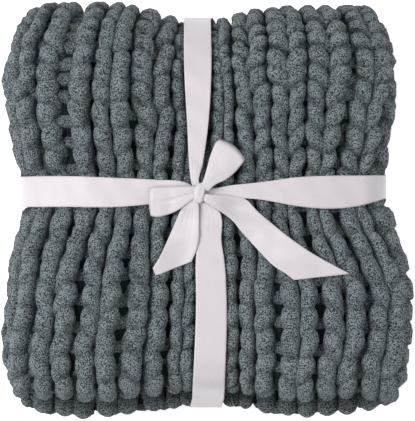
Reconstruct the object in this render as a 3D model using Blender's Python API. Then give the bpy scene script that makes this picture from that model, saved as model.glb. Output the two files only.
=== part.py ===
# A chunky knit throw, folded in thirds and then in quarters, tied with a satin ribbon and a bow.
import math

import bmesh
import bpy
import numpy as np
from mathutils import Vector, geometry
from mathutils.bvhtree import BVHTree

# The throw: one knitted cloth, three plies to a band and four bands to the stack.
PLY_COUNT = 3
PLY_THICKNESS = 0.0147
PLY_GAP = 0.0015
BAND_THICKNESS = PLY_COUNT * PLY_THICKNESS
BAND_GAP = 0.003
BAND_RISE = BAND_THICKNESS + BAND_GAP
STACK_HEIGHT = 4 * BAND_THICKNESS + 3 * BAND_GAP
HALF_WIDTH = 0.203
BACK_REACH = 0.207
FREE_END_REACH = 0.206
FRONT_FOLD_REACH = 0.189

# Folds: where each bend starts, and how far it reaches past that.
BACK_BEND_Y = 0.139
FRONT_BEND_Y = -0.157
INNER_BEND_REACH = 0.034
BEND_FULLNESS = 2.5
BEND_STEPS = 6
CREASE_REACH = 0.002
FOLD_EDGE_REACH = 0.016
FREE_EDGE_REACH = 0.007

# Ribs: one for each column of stitch legs.
RIB_PITCH = 0.0185
RIB_HEIGHT = 0.005
RIB_FADE = 0.004

# The stack's outer shape once it is tied.
TIED_HEIGHT = 0.186
VALLEY_DEPTH = 0.020
VALLEY_SLOPE = 0.072
UNDER_VALLEY_DEPTH = 0.005
UNDER_VALLEY_SLOPE = 0.012
SIDE_DROOP = 0.028
SIDE_DROOP_START = 0.100
SHOULDER_X = 0.135
FRONT_DROOP = 0.010
CROSS_SEAT_Y = 0.018
CROSS_SEAT_HALF = 0.021
LENGTH_SEAT_X = -0.003
LENGTH_SEAT_HALF = 0.024

# Ribbon.
RIBBON_THICKNESS = 0.001
PIECE_GAP = 0.0003
DRAPE_GAP = 0.0008
RIBBON_STEP = 0.016

# The tied outline from above, as reach from the middle.
SIDE_OUTLINE = (
    # y, left, right
    (-0.206, 0.168, 0.174),
    (-0.196, 0.182, 0.184),
    (-0.180, 0.191, 0.193),
    (-0.155, 0.198, 0.199),
    (-0.115, 0.204, 0.204),
    (-0.075, 0.202, 0.203),
    (-0.040, 0.198, 0.198),
    (-0.003, 0.185, 0.185),
    (0.018, 0.182, 0.180),
    (0.039, 0.188, 0.179),
    (0.080, 0.197, 0.184),
    (0.115, 0.203, 0.190),
    (0.160, 0.203, 0.190),
    (0.185, 0.193, 0.183),
    (0.199, 0.181, 0.172),
    (0.207, 0.168, 0.160),
)
END_OUTLINE = (
    # x, back, front
    (-0.203, 0.204, 0.203),
    (-0.160, 0.206, 0.206),
    (-0.110, 0.207, 0.207),
    (-0.070, 0.203, 0.201),
    (-0.040, 0.194, 0.199),
    (-0.003, 0.190, 0.193),
    (0.030, 0.196, 0.197),
    (0.065, 0.203, 0.202),
    (0.100, 0.204, 0.206),
    (0.150, 0.205, 0.203),
    (0.203, 0.201, 0.201),
)

# Rows of points along each band, counted from the free end underneath.
BAND_STATIONS = {
    "bottom": (-0.190, -0.110, -0.050, -0.015, -0.003, 0.039, 0.051, 0.090, 0.139),
    "top": (0.139, 0.105, 0.070, 0.039, 0.018, -0.003, -0.035, -0.070, -0.110, -0.157),
    "second": (-0.157, -0.110, -0.070, -0.035, -0.003, 0.039, 0.070, 0.105, 0.139),
    "third": (0.139, 0.105, 0.070, 0.039, -0.003, -0.035, -0.070, -0.110, -0.190),
}
# A free end rounds off: reach, share of the full thickness.
FREE_END_PROFILE = ((0.190, 1.0), (0.200, 0.86), (0.2055, 0.50))

# The ribbon is gathered towards the knot: distance from it, half width.
GATHER = ((0.0, 0.005), (0.015, 0.007), (0.050, 0.0115), (0.090, 0.0145), (0.130, 0.0155), (0.9, 0.0155))
# The lengthwise run's middle: y, x.
LENGTH_CENTRES = ((-0.190, -0.001), (-0.060, 0.003), (0.006, 0.0), (0.026, -0.010), (0.190, -0.010))
KNOT_CENTRE = (-0.008, 0.0165)
KNOT_SIZE = (0.014, 0.020, 0.012)
LOOP_STEPS = 8
LOOP_ROOT_HALF = 0.005
LOOP_ROOT_RISE = 0.004
LOOP_WINDOW = 0.004
TAIL_WINDOW = 0.006
TAIL_SAG = 0.004
TAIL_ROOT_RISE = 0.0015

# Rows across the two loose tails, from the knot to the cut.
LEFT_TAIL = (
    # left edge x, y, right edge x, y
    (-0.0190, 0.0055, -0.0085, 0.0055),
    (-0.0245, -0.0020, -0.0070, -0.0050),
    (-0.0300, -0.0120, -0.0070, -0.0150),
    (-0.0360, -0.0240, -0.0075, -0.0260),
    (-0.0430, -0.0380, -0.0090, -0.0380),
    (-0.0480, -0.0480, -0.0120, -0.0450),
    (-0.0530, -0.0570, -0.0150, -0.0505),
)
RIGHT_TAIL = (
    # left edge x, y, right edge x, y
    (0.0010, 0.0150, 0.0010, 0.0085),
    (0.0130, 0.0150, 0.0090, 0.0010),
    (0.0270, 0.0130, 0.0180, -0.0050),
    (0.0400, 0.0080, 0.0280, -0.0120),
    (0.0530, -0.0020, 0.0350, -0.0210),
    (0.0670, -0.0130, 0.0430, -0.0310),
    (0.0820, -0.0250, 0.0530, -0.0430),
    (0.0990, -0.0380, 0.0650, -0.0540),
    (0.1180, -0.0500, 0.0760, -0.0620),
    (0.1400, -0.0620, 0.0860, -0.0690),
)
LOOPS = (
    # name, root x, root y, end x, end y, half width at the end, height
    ("bow_loop_left", -0.0164, 0.0152, -0.0565, 0.0085, 0.0145, 0.013),
    ("bow_loop_right", -0.0006, 0.0252, 0.0265, 0.0605, 0.0165, 0.013),
)


def smooth_table(value, rows, column):
    # A smooth curve through one column of a table.
    xs = np.array([row[0] for row in rows])
    ys = np.array([row[column] for row in rows])
    slopes = np.gradient(ys, xs)
    value = min(max(value, xs[0]), xs[-1])
    i = min(int(np.searchsorted(xs, value, side="right")) - 1, len(xs) - 2)
    span = xs[i + 1] - xs[i]
    t = (value - xs[i]) / span
    return float(
        (2 * t**3 - 3 * t**2 + 1) * ys[i]
        + (t**3 - 2 * t**2 + t) * span * slopes[i]
        + (3 * t**2 - 2 * t**3) * ys[i + 1]
        + (t**3 - t**2) * span * slopes[i + 1]
    )


def seat_weight(offset, half, slope):
    # 1 under the ribbon, falling to 0 at the foot of its slope.
    t = min(max((abs(offset) - half) / slope, 0.0), 1.0)
    return 1.0 - t * t * (3.0 - 2.0 * t)


def valley(x, y, slope):
    cross = seat_weight(y - CROSS_SEAT_Y, CROSS_SEAT_HALF, slope)
    length = seat_weight(x - LENGTH_SEAT_X, LENGTH_SEAT_HALF, slope)
    return 1.0 - (1.0 - cross) * (1.0 - length)


def tied_shape(point):
    # Takes a point of the square stack to its place in the tied, four-lobed one.
    x, y, z = point
    top = TIED_HEIGHT - VALLEY_DEPTH * valley(x, y, VALLEY_SLOPE)
    droop = min(max((abs(x) - SIDE_DROOP_START) / (HALF_WIDTH - SIDE_DROOP_START), 0.0), 1.0)
    top -= SIDE_DROOP * droop**2
    top -= FRONT_DROOP * min(max((-y - 0.120) / 0.086, 0.0), 1.0) ** 2
    under = UNDER_VALLEY_DEPTH * valley(x, y, UNDER_VALLEY_SLOPE)
    share = z / STACK_HEIGHT
    belly = 1.0 - 0.05 * max(share - 0.5, 0.0) ** 2 / 0.25
    side = smooth_table(y, SIDE_OUTLINE, 1 if x < 0.0 else 2) / HALF_WIDTH
    reach = BACK_REACH + RIB_HEIGHT if y > 0.0 else FREE_END_REACH
    end = smooth_table(x, END_OUTLINE, 1 if y > 0.0 else 2) / reach
    return Vector((x * side * belly, y * end, under + (top - under) * share))


def bend_point(centre_y, centre_z, reach, rise, angle):
    # A point on a full, squarish bend; angle 0 is its nose.
    power = 2.0 / BEND_FULLNESS
    c, s = math.cos(angle), math.sin(angle)
    along = reach * math.copysign(abs(c) ** power, c)
    up = rise * math.copysign(abs(s) ** power, s)
    return centre_y + along, centre_z + up


def bend_angles():
    return [math.pi * (0.5 - i / (BEND_STEPS + 1)) for i in range(1, BEND_STEPS + 1)]


def fold_stations():
    # Rows along the folded strip: outer skin (y, z), inner skin (y, z), rib strength.
    def floor(level):
        return level * BAND_RISE

    def roof(level):
        return level * BAND_RISE + BAND_THICKNESS

    middle = STACK_HEIGHT / 2
    inner_rise = BAND_THICKNESS + BAND_GAP / 2
    outer_inside = INNER_BEND_REACH + BAND_GAP
    rows = []
    for reach, share in reversed(FREE_END_PROFILE):
        half = share * BAND_THICKNESS / 2
        centre = BAND_THICKNESS / 2
        rows.append(((-reach, centre - half), (-reach, centre + half), 0.0))
    rows += [((y, floor(0)), (y, roof(0)), 0.0) for y in BAND_STATIONS["bottom"][1:]]
    for angle in reversed(bend_angles()):
        outer = bend_point(BACK_BEND_Y, middle, BACK_REACH - BACK_BEND_Y, middle, angle)
        inner = bend_point(BACK_BEND_Y, middle, outer_inside, middle - BAND_THICKNESS, angle)
        rows.append((outer, inner, 1.0 if angle > -0.9 else 0.4))
    rows += [((y, roof(3)), (y, floor(3)), 1.0) for y in BAND_STATIONS["top"]]
    seam = floor(3) - BAND_GAP / 2
    for angle in bend_angles():
        outer = bend_point(FRONT_BEND_Y, seam, -(FRONT_FOLD_REACH + FRONT_BEND_Y), inner_rise, angle)
        inner = bend_point(FRONT_BEND_Y, seam, -CREASE_REACH, BAND_GAP / 2, angle)
        rows.append((outer, inner, 1.0 if angle > -0.9 else 0.4))
    rows += [((y, floor(2)), (y, roof(2)), 0.0) for y in BAND_STATIONS["second"]]
    for angle in bend_angles():
        outer = bend_point(BACK_BEND_Y, middle, CREASE_REACH, BAND_GAP / 2, angle)
        inner = bend_point(BACK_BEND_Y, middle, INNER_BEND_REACH, inner_rise, angle)
        rows.append((outer, inner, 0.0))
    rows += [((y, roof(1)), (y, floor(1)), 0.0) for y in BAND_STATIONS["third"][:-1]]
    for reach, share in FREE_END_PROFILE:
        half = share * BAND_THICKNESS / 2
        centre = floor(1) + BAND_THICKNESS / 2
        rows.append(((-reach, centre + half), (-reach, centre - half), 0.0))
    return rows


def arc(centre_x, centre_n, reach, half_n, start, stop, steps):
    points = []
    for i in range(steps):
        angle = math.radians(start + (stop - start) * i / (steps - 1))
        points.append((centre_x + reach * math.cos(angle), centre_n + half_n * math.sin(angle), 0.0))
    return points


def run(start, stop, n, count):
    return [(start + (stop - start) * i / (count - 1), n, 0.0) for i in range(count)]


def hidden_run(start, stop, n):
    # A plain face inside the fold, with a point at each foot of the tied waist.
    waist = (LENGTH_SEAT_X - LENGTH_SEAT_HALF, LENGTH_SEAT_X + LENGTH_SEAT_HALF)
    slope = 0.75 * VALLEY_SLOPE
    middles = (-SHOULDER_X, waist[0] - slope, *waist, waist[1] + slope, SHOULDER_X)
    places = [start, *(middles if start < stop else reversed(middles)), stop]
    return [(x, n, 0.0) for x in places]


def band_section():
    # The three plies of a band, folded back and forth: x, level from -1 to 1, rib height.
    third = 1.0 / 3.0
    slot = PLY_GAP / BAND_THICKNESS
    fold_x = HALF_WIDTH - FOLD_EDGE_REACH
    edge_x = HALF_WIDTH - FREE_EDGE_REACH
    edge_n = third - slot / 2
    count = 2 * round((fold_x + edge_x) / RIB_PITCH) + 1
    face = run(-edge_x, fold_x, 1.0, count)
    points = [(x, n, float(i % 2)) for i, (x, n, _) in enumerate(face)]
    points += arc(fold_x, third, FOLD_EDGE_REACH, 2 * third, 58, -58, 4)
    points += hidden_run(fold_x, -fold_x, slot - third)
    points += hidden_run(-fold_x, fold_x, -slot - third)
    points += arc(edge_x, -2 * third, FREE_EDGE_REACH, edge_n, 45, -45, 3)
    points += hidden_run(fold_x, -fold_x, -1.0)
    points += arc(-fold_x, -third, FOLD_EDGE_REACH, 2 * third, 238, 122, 4)
    points += hidden_run(-fold_x, fold_x, third - slot)
    points += hidden_run(fold_x, -fold_x, third + slot)
    points += arc(-edge_x, 2 * third, FREE_EDGE_REACH, edge_n, 225, 135, 3)
    return points


def stack_point(station, x, level, rib):
    # Where a section point lies on the square stack before it is tied.
    outer, inner, strength = station
    share = (level + 1.0) / 2.0
    y = inner[0] + (outer[0] - inner[0]) * share
    z = inner[1] + (outer[1] - inner[1]) * share
    thick = math.hypot(outer[0] - inner[0], outer[1] - inner[1])
    lift = RIB_HEIGHT * rib * strength * (1.0 - valley(x, y, RIB_FADE))
    y += lift * (outer[0] - inner[0]) / thick
    z += lift * (outer[1] - inner[1]) / thick
    return x, y, z


def new_material(name, colour, roughness):
    material = bpy.data.materials.new(name)
    material.use_nodes = True
    shader = material.node_tree.nodes["Principled BSDF"]
    shader.inputs["Base Color"].default_value = (*colour, 1.0)
    shader.inputs["Roughness"].default_value = roughness
    shader.inputs["Metallic"].default_value = 0.0
    return material


def add_object(name, bm, material):
    bmesh.ops.recalc_face_normals(bm, faces=bm.faces)
    mesh = bpy.data.meshes.new(name)
    bm.to_mesh(mesh)
    bm.free()
    mesh.materials.append(material)
    obj = bpy.data.objects.new(name, mesh)
    parts.objects.link(obj)
    return obj


def cap_faces(section):
    # Triangles that close the strip's end, in the section's own plane.
    flat = [Vector((x, level * BAND_THICKNESS / 2)) for x, level, _ in section]
    sides = [(i, (i + 1) % len(flat)) for i in range(len(flat))]
    filled = geometry.delaunay_2d_cdt(flat, sides, [], 1, 1e-7)
    return [[filled[3][i][0] for i in face] for face in filled[2]]


def make_blanket(material):
    section = band_section()
    stations = fold_stations()
    bm = bmesh.new()
    rings = []
    for station in stations:
        rings.append([bm.verts.new(stack_point(station, *point)) for point in section])
    for ring, following in zip(rings, rings[1:]):
        for i in range(len(section)):
            j = (i + 1) % len(section)
            bm.faces.new((ring[i], ring[j], following[j], following[i]))
    for ring in (rings[0], rings[-1]):
        for corners in cap_faces(section):
            bm.faces.new([ring[i] for i in corners])
    for vert in bm.verts:
        vert.co = tied_shape(vert.co)
    flatten_base(bm)
    return add_object("blanket", bm, material)


def flatten_base(bm):
    # The underside lies flat on the floor, in a few large faces.
    for vert in bm.verts:
        if abs(vert.co.z) < 1e-6:
            vert.co.z = 0.0
    flat = [face for face in bm.faces if all(vert.co.z == 0.0 for vert in face.verts)]
    edges = {edge for face in flat for edge in face.edges}
    verts = {vert for face in flat for vert in face.verts}
    bmesh.ops.dissolve_limit(bm, angle_limit=math.radians(0.1), verts=list(verts), edges=list(edges))


def hull(points):
    # Convex outline of a set of flat points, anticlockwise.
    points = sorted(set(points))

    def chain(items):
        out = []
        for p in items:
            while len(out) > 1:
                ax, ay = out[-1][0] - out[-2][0], out[-1][1] - out[-2][1]
                bx, by = p[0] - out[-2][0], p[1] - out[-2][1]
                if ax * by - ay * bx > 0.0:
                    break
                out.pop()
            out.append(p)
        return out[:-1]

    return chain(points) + chain(reversed(points))


def taut_loop(objects, axis, low, high):
    # The line that a tight ribbon takes round what lies between two planes.
    other = 1 - axis
    points = []
    for obj in objects:
        for edge in obj.data.edges:
            first, second = (obj.data.vertices[i].co for i in edge.vertices)
            span = second[other] - first[other]
            ends = sorted(((low - first[other]) / span, (high - first[other]) / span)) if span else [0.0, 1.0]
            start, stop = max(ends[0], 0.0), min(ends[1], 1.0)
            if start > stop or (not span and not low <= first[other] <= high):
                continue
            for share in (start, stop):
                place = first.lerp(second, share)
                points.append((round(place[axis], 5), round(place[2], 5)))
    corners = [Vector(p) for p in hull(points)]
    line = []
    for here, there in zip(corners, corners[1:] + corners[:1]):
        steps = max(1, round((there - here).length / RIBBON_STEP))
        line += [here.lerp(there, i / steps) for i in range(steps)]
    return line


def offset_loop(line, distance):
    moved = []
    for before, here, after in zip(line[-1:] + line[:-1], line, line[1:] + line[:1]):
        first, second = (here - before).normalized(), (after - here).normalized()
        normal = Vector((first.y + second.y, -first.x - second.x)).normalized()
        share = max(normal.dot(Vector((second.y, -second.x))), 0.6)
        moved.append(here + normal * distance / share)
    return moved


def strip_mesh(rows, closed):
    # A thin solid from rows of four corners.
    bm = bmesh.new()
    rings = [[bm.verts.new(corner) for corner in row] for row in rows]
    following = rings[1:] + rings[:1] if closed else rings[1:]
    for ring, after in zip(rings, following):
        for i in range(4):
            j = (i + 1) % 4
            bm.faces.new((ring[i], ring[j], after[j], after[i]))
    if not closed:
        bm.faces.new(rings[0])
        bm.faces.new(rings[-1])
    return bm


def gather(distance):
    return float(np.interp(distance, [row[0] for row in GATHER], [row[1] for row in GATHER]))


def make_crosswise(material, blanket):
    half = gather(1.0)
    line = taut_loop([blanket], 0, CROSS_SEAT_Y - half, CROSS_SEAT_Y + half)
    inner = offset_loop(line, PIECE_GAP)
    outer = offset_loop(line, PIECE_GAP + RIBBON_THICKNESS)
    rows = []
    for a, b in zip(inner, outer):
        on_top = a.y > TIED_HEIGHT / 2
        half = gather(abs(a.x - KNOT_CENTRE[0])) if on_top else gather(1.0)
        y = CROSS_SEAT_Y
        rows.append([(a.x, y - half, a.y), (a.x, y + half, a.y), (b.x, y + half, b.y), (b.x, y - half, b.y)])
    return add_object("ribbon_crosswise", strip_mesh(rows, True), material)


def length_centre(y, on_top):
    # The lengthwise run is a little off line either side of the knot.
    rows = LENGTH_CENTRES if on_top else (LENGTH_CENTRES[0], LENGTH_CENTRES[-1])
    return float(np.interp(y, [row[0] for row in rows], [row[1] for row in rows]))


def make_lengthwise(material, blanket, crosswise):
    half = gather(1.0)
    line = taut_loop([blanket, crosswise], 1, LENGTH_CENTRES[-1][1] - half, LENGTH_CENTRES[1][1] + half)
    inner = offset_loop(line, PIECE_GAP)
    outer = offset_loop(line, PIECE_GAP + RIBBON_THICKNESS)
    rows = []
    for a, b in zip(inner, outer):
        on_top = a.y > TIED_HEIGHT / 2
        half = gather(abs(a.x - KNOT_CENTRE[1])) if on_top else gather(1.0)
        x = length_centre(a.x, on_top)
        rows.append([(x - half, a.x, a.y), (x + half, a.x, a.y), (x + half, b.x, b.y), (x - half, b.x, b.y)])
    return add_object("ribbon_lengthwise", strip_mesh(rows, True), material)


def height_over(trees, x, y, window):
    # The highest surface in a small window round a place.
    found = 0.0
    for dx in (-window, -window / 2, 0.0, window / 2, window):
        for dy in (-window, -window / 2, 0.0, window / 2, window):
            for tree in trees:
                hit = tree.ray_cast(Vector((x + dx, y + dy, 1.0)), Vector((0.0, 0.0, -1.0)))[0]
                if hit:
                    found = max(found, hit.z)
    return found


def tree_of(obj):
    return BVHTree.FromPolygons([v.co for v in obj.data.vertices], [p.vertices for p in obj.data.polygons])


def make_knot(material, base):
    width, depth, height = KNOT_SIZE
    middle = base + PIECE_GAP + height / 2
    bm = bmesh.new()
    bmesh.ops.create_cube(bm, size=1.0)
    bmesh.ops.scale(bm, vec=KNOT_SIZE, verts=bm.verts)
    bmesh.ops.bevel(bm, geom=bm.edges[:], offset=width / 4, segments=3, profile=0.6, affect="EDGES")
    bmesh.ops.translate(bm, vec=(*KNOT_CENTRE, middle), verts=bm.verts)
    return add_object("bow_knot", bm, material)


def make_loop(material, row, trees, base):
    # One bow loop: out along the blanket, over its end fold and back to the knot.
    name, root_x, root_y, end_x, end_y, end_half, height = row
    root = Vector((root_x, root_y))
    toward = Vector((end_x, end_y)) - root
    along = toward.normalized()
    across = Vector((-along.y, along.x))
    reach = toward.length - height / 2
    lower, upper = [], []
    for i in range(LOOP_STEPS + 1):
        t = i / LOOP_STEPS
        distance = reach * t
        half = LOOP_ROOT_HALF + (end_half - LOOP_ROOT_HALF) * min(1.0, 1.35 * t) ** 0.8
        place = root + along * distance
        ground = max(
            height_over(trees, *(place + across * half * side), LOOP_WINDOW) for side in (-1.0, -0.5, 0.0, 0.5, 1.0)
        )
        ground = max(ground + DRAPE_GAP, base + 0.004 * (1.0 - t))
        rise = LOOP_ROOT_RISE + (height - LOOP_ROOT_RISE) * math.sin(math.pi * min(t, 0.62) / 1.24)
        lower.append((distance, ground, half))
        upper.append((distance, ground + rise, half))
    path = lower
    nose_low, nose_high = lower[-1], upper[-1]
    middle = (nose_low[1] + nose_high[1]) / 2
    radius = (nose_high[1] - nose_low[1]) / 2
    for i in range(1, 5):
        angle = math.pi * (i / 5 - 0.5)
        path.append((reach + radius * math.cos(angle), middle + radius * math.sin(angle), end_half))
    path += list(reversed(upper))
    flat = [Vector((p[0], p[1])) for p in path]
    rows = []
    for i, (distance, level, half) in enumerate(path):
        before, after = flat[max(i - 1, 0)], flat[min(i + 1, len(flat) - 1)]
        heading = (after - before).normalized()
        normal = Vector((-heading.y, heading.x)) * RIBBON_THICKNESS
        row_corners = []
        for side, shift in ((-1.0, 0.0), (1.0, 0.0), (1.0, 1.0), (-1.0, 1.0)):
            place = root + along * (distance + normal.x * shift) + across * half * side
            row_corners.append((place.x, place.y, level + normal.y * shift))
        rows.append(row_corners)
    return add_object(name, strip_mesh(rows, False), material)


def make_tail(name, rows, material, trees, base):
    # A loose end, laid over the ribs from the knot to its cut.
    corners = []
    for i, (left_x, left_y, right_x, right_y) in enumerate(rows):
        levels = []
        for share in (0.0, 0.25, 0.5, 0.75, 1.0):
            x, y = left_x + (right_x - left_x) * share, left_y + (right_y - left_y) * share
            levels.append(height_over(trees, x, y, TAIL_WINDOW) + DRAPE_GAP)
        level = max(levels)
        left, right = max(levels[:2] + [level - TAIL_SAG]), max(levels[3:] + [level - TAIL_SAG])
        if i < 2:
            left = right = max(left, right, base + TAIL_ROOT_RISE)
        top = RIBBON_THICKNESS
        corners.append(
            [
                (left_x, left_y, left),
                (right_x, right_y, right),
                (right_x, right_y, right + top),
                (left_x, left_y, left + top),
            ]
        )
    return add_object(name, strip_mesh(corners, False), material)


def remove_all():
    for obj in list(bpy.data.objects):
        bpy.data.objects.remove(obj, do_unlink=True)


remove_all()
parts = bpy.data.collections.new("chunky knit blanket")
bpy.context.scene.collection.children.link(parts)
yarn = new_material("chenille", (0.094, 0.113, 0.124), 0.95)
satin = new_material("satin", (0.76, 0.70, 0.73), 0.42)
blanket = make_blanket(yarn)
crosswise = make_crosswise(satin, blanket)
lengthwise = make_lengthwise(satin, blanket, crosswise)
ground_trees = [tree_of(blanket), tree_of(crosswise), tree_of(lengthwise)]
crossing_top = height_over(ground_trees, *KNOT_CENTRE, 0.006)
knot = make_knot(satin, crossing_top)
tails = [
    make_tail("bow_tail_left", LEFT_TAIL, satin, ground_trees, crossing_top),
    make_tail("bow_tail_right", RIGHT_TAIL, satin, ground_trees, crossing_top),
]
ground_trees += [tree_of(tail) for tail in tails]
for loop_row in LOOPS:
    make_loop(satin, loop_row, ground_trees, crossing_top)
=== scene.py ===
import math

import bmesh
import bpy
import numpy as np
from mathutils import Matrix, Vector
from mathutils.bvhtree import BVHTree


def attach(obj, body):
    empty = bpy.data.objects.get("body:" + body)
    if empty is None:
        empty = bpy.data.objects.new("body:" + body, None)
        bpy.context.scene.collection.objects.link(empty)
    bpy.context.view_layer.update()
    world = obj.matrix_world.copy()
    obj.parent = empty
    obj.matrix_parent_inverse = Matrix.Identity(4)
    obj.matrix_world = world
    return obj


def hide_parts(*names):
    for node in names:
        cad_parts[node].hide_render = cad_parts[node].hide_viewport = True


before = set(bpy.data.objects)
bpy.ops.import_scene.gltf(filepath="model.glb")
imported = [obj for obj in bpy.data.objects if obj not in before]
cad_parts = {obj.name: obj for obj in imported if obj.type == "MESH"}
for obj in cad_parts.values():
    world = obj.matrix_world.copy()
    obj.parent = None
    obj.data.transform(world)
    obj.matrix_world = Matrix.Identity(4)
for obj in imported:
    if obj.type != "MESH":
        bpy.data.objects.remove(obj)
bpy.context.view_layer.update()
chance = np.random.default_rng(21)
print("frame loaded")

# The folded, tied stack has the same sizes as its solid.
stack = dict(
    ply=0.0147,
    bandGap=0.003,
    halfWidth=0.203,
    backReach=0.207,
    freeEndReach=0.206,
    frontFoldReach=0.185,
    backBendY=0.139,
    frontBendY=-0.157,
    innerBendReach=0.034,
    bendFullness=2.5,
    creaseReach=0.002,
    ribHeight=0.005,
    tiedHeight=0.186,
    valleyDepth=0.020,
    valleySlope=0.072,
    underDepth=0.005,
    underSlope=0.012,
    sideDroop=0.028,
    sideDroopStart=0.100,
    frontDroop=0.010,
    frontDroopStart=0.120,
    frontDroopSpan=0.086,
    drawnIn=0.05,  # how much narrower the top is than the middle
    crossSeatY=0.018,
    crossSeatHalf=0.021,
    lengthSeatX=-0.003,
    lengthSeatHalf=0.024,
)
bandThickness = 3 * stack["ply"]
bandRise = bandThickness + stack["bandGap"]
stackHeight = 4 * bandThickness + 3 * stack["bandGap"]

# In millimetres.
sideOutline = np.array((  # y, left reach, right reach
    (-206, 172, 177), (-196, 185, 188), (-180, 192, 196), (-155, 198, 202), (-115, 201, 206),
    (-75, 197, 204), (-40, 192, 196), (-3, 182, 185), (18, 180, 180), (39, 185, 179), (80, 194, 184),
    (115, 200, 189), (160, 199, 188), (185, 187, 180), (199, 174, 170), (207, 162, 158),
)) / 1000.0
endOutline = np.array((  # x, back reach, front reach
    (-203, 204, 203), (-160, 205, 206), (-110, 205, 207), (-70, 200, 201), (-40, 190, 199),
    (-3, 184, 193), (30, 192, 197), (65, 199, 202), (100, 201, 206), (150, 202, 203), (203, 201, 201),
)) / 1000.0


def smoothTable(value, table, column):
    xs, ys = table[:, 0], table[:, column]
    slopes = np.gradient(ys, xs)
    value = np.clip(value, xs[0], xs[-1])
    i = np.clip(np.searchsorted(xs, value, side="right") - 1, 0, len(xs) - 2)
    span = xs[i + 1] - xs[i]
    t = (value - xs[i]) / span
    start = (2 * t**3 - 3 * t**2 + 1) * ys[i] + (t**3 - 2 * t**2 + t) * span * slopes[i]
    return start + (3 * t**2 - 2 * t**3) * ys[i + 1] + (t**3 - t**2) * span * slopes[i + 1]


def distances(points):
    # How far along a line each of its points lies.
    steps = np.linalg.norm(np.diff(points, axis=0), axis=1)
    return np.concatenate(([0.0], np.cumsum(steps)))


def unit(vectors):
    return vectors / np.maximum(np.linalg.norm(vectors, axis=-1, keepdims=True), 1e-12)


def ease(t):
    return t * t * (3.0 - 2.0 * t)


def smoothStep(value, start, stop):
    return ease(np.clip((value - start) / (stop - start), 0.0, 1.0))


def seatWeight(offset, half, slope):
    return 1.0 - ease(np.clip((np.abs(offset) - half) / slope, 0.0, 1.0))


def underTie(x, y, lengthX, crossHalf, lengthHalf, slope):
    # 1 under either run of the ribbon, falling to 0 at the foot of the slope beside it.
    cross = seatWeight(y - stack["crossSeatY"], crossHalf, slope)
    length = seatWeight(x - lengthX, lengthHalf, slope)
    return 1.0 - (1.0 - cross) * (1.0 - length)


def valley(x, y, slope):
    return underTie(x, y, stack["lengthSeatX"], stack["crossSeatHalf"], stack["lengthSeatHalf"], slope)


def tiedShape(x, y, z):
    top = stack["tiedHeight"] - stack["valleyDepth"] * valley(x, y, stack["valleySlope"])
    droopSpan = stack["halfWidth"] - stack["sideDroopStart"]
    top = top - stack["sideDroop"] * np.clip((np.abs(x) - stack["sideDroopStart"]) / droopSpan, 0, 1) ** 2
    atFront = np.clip((-y - stack["frontDroopStart"]) / stack["frontDroopSpan"], 0.0, 1.0)
    top = top - stack["frontDroop"] * atFront**2
    under = stack["underDepth"] * valley(x, y, stack["underSlope"])
    share = z / stackHeight
    belly = 1.0 - stack["drawnIn"] * np.maximum(share - 0.5, 0.0) ** 2 / 0.25
    side = np.where(x < 0, smoothTable(y, sideOutline, 1), smoothTable(y, sideOutline, 2))
    side = side / stack["halfWidth"]
    back = smoothTable(x, endOutline, 1) / (stack["backReach"] + stack["ribHeight"])
    front = smoothTable(x, endOutline, 2) / stack["freeEndReach"]
    end = np.where(y > 0, back, front)
    return np.stack((x * side * belly, y * end, under + (top - under) * share), axis=-1)


def rounded(value, power):
    return np.copysign(np.abs(value) ** power, value)


def bendRow(centreY, centreZ, reach, rise, angle):
    power = 2.0 / stack["bendFullness"]
    out, up = rounded(math.cos(angle), power), rounded(math.sin(angle), power)
    return centreY + reach * out, centreZ + rise * up


def makeFoldPath():
    # The strip from its free end underneath, round the back, over the top and in again.
    middle = stackHeight / 2
    backY, frontY = stack["backBendY"], stack["frontBendY"]
    endY = -stack["freeEndReach"] + 0.0005
    innerRise = bandThickness + stack["bandGap"] / 2
    outerInside = stack["innerBendReach"] + stack["bandGap"]
    crease, half = stack["creaseReach"], stack["bandGap"] / 2
    rows, marks = [], {}

    def floor(level):
        return level * bandRise

    def roof(level):
        return level * bandRise + bandThickness

    def straight(start, stop, outerZ, innerZ):
        for y in np.linspace(start, stop, 60):
            rows.append((y, outerZ, y, innerZ))

    def bend(centreY, centreZ, outer, inner, upward):
        angles = np.linspace(-math.pi / 2, math.pi / 2, 50)[1:-1]
        for angle in angles if upward else angles[::-1]:
            outside = bendRow(centreY, centreZ, *outer, angle)
            rows.append((*outside, *bendRow(centreY, centreZ, *inner, angle)))

    straight(endY, backY, floor(0), roof(0))
    marks["back"] = len(rows)
    bend(backY, middle, (stack["backReach"] - backY, middle), (outerInside, middle - bandThickness), True)
    marks["top"] = len(rows)
    straight(backY, frontY, roof(3), floor(3))
    marks["front"] = len(rows)
    reach = -(stack["frontFoldReach"] + frontY)
    bend(frontY, floor(3) - half, (reach, innerRise), (-crease, half), False)
    marks["second"] = len(rows)
    straight(frontY, backY, floor(2), roof(2))
    bend(backY, middle, (crease, half), (stack["innerBendReach"], innerRise), False)
    straight(backY, endY, roof(1), floor(1))
    table = np.array(rows)
    ply = table[:, 2:] + (table[:, :2] - table[:, 2:]) * 5.0 / 6.0  # the outer ply's middle
    steps = np.hypot(*np.diff(ply, axis=0).T)
    along = np.concatenate(([0.0], np.cumsum(np.maximum(steps, 1e-5))))
    return along, table, {name: along[row] for name, row in marks.items()}


foldAlong, foldRows, foldMarks = makeFoldPath()
clothLength = foldAlong[-1]


section = dict(
    foldInset=0.0185,  # from the stack's side to the side folds' centres
    swells=(0.0080, 0.0074, 0.0056),  # of the selvedge turned down and of the two side folds
    turnedLevel=0.20,
    lowerReach=0.004,  # how far the lower selvedge stands out past the folds' centres
)


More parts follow.
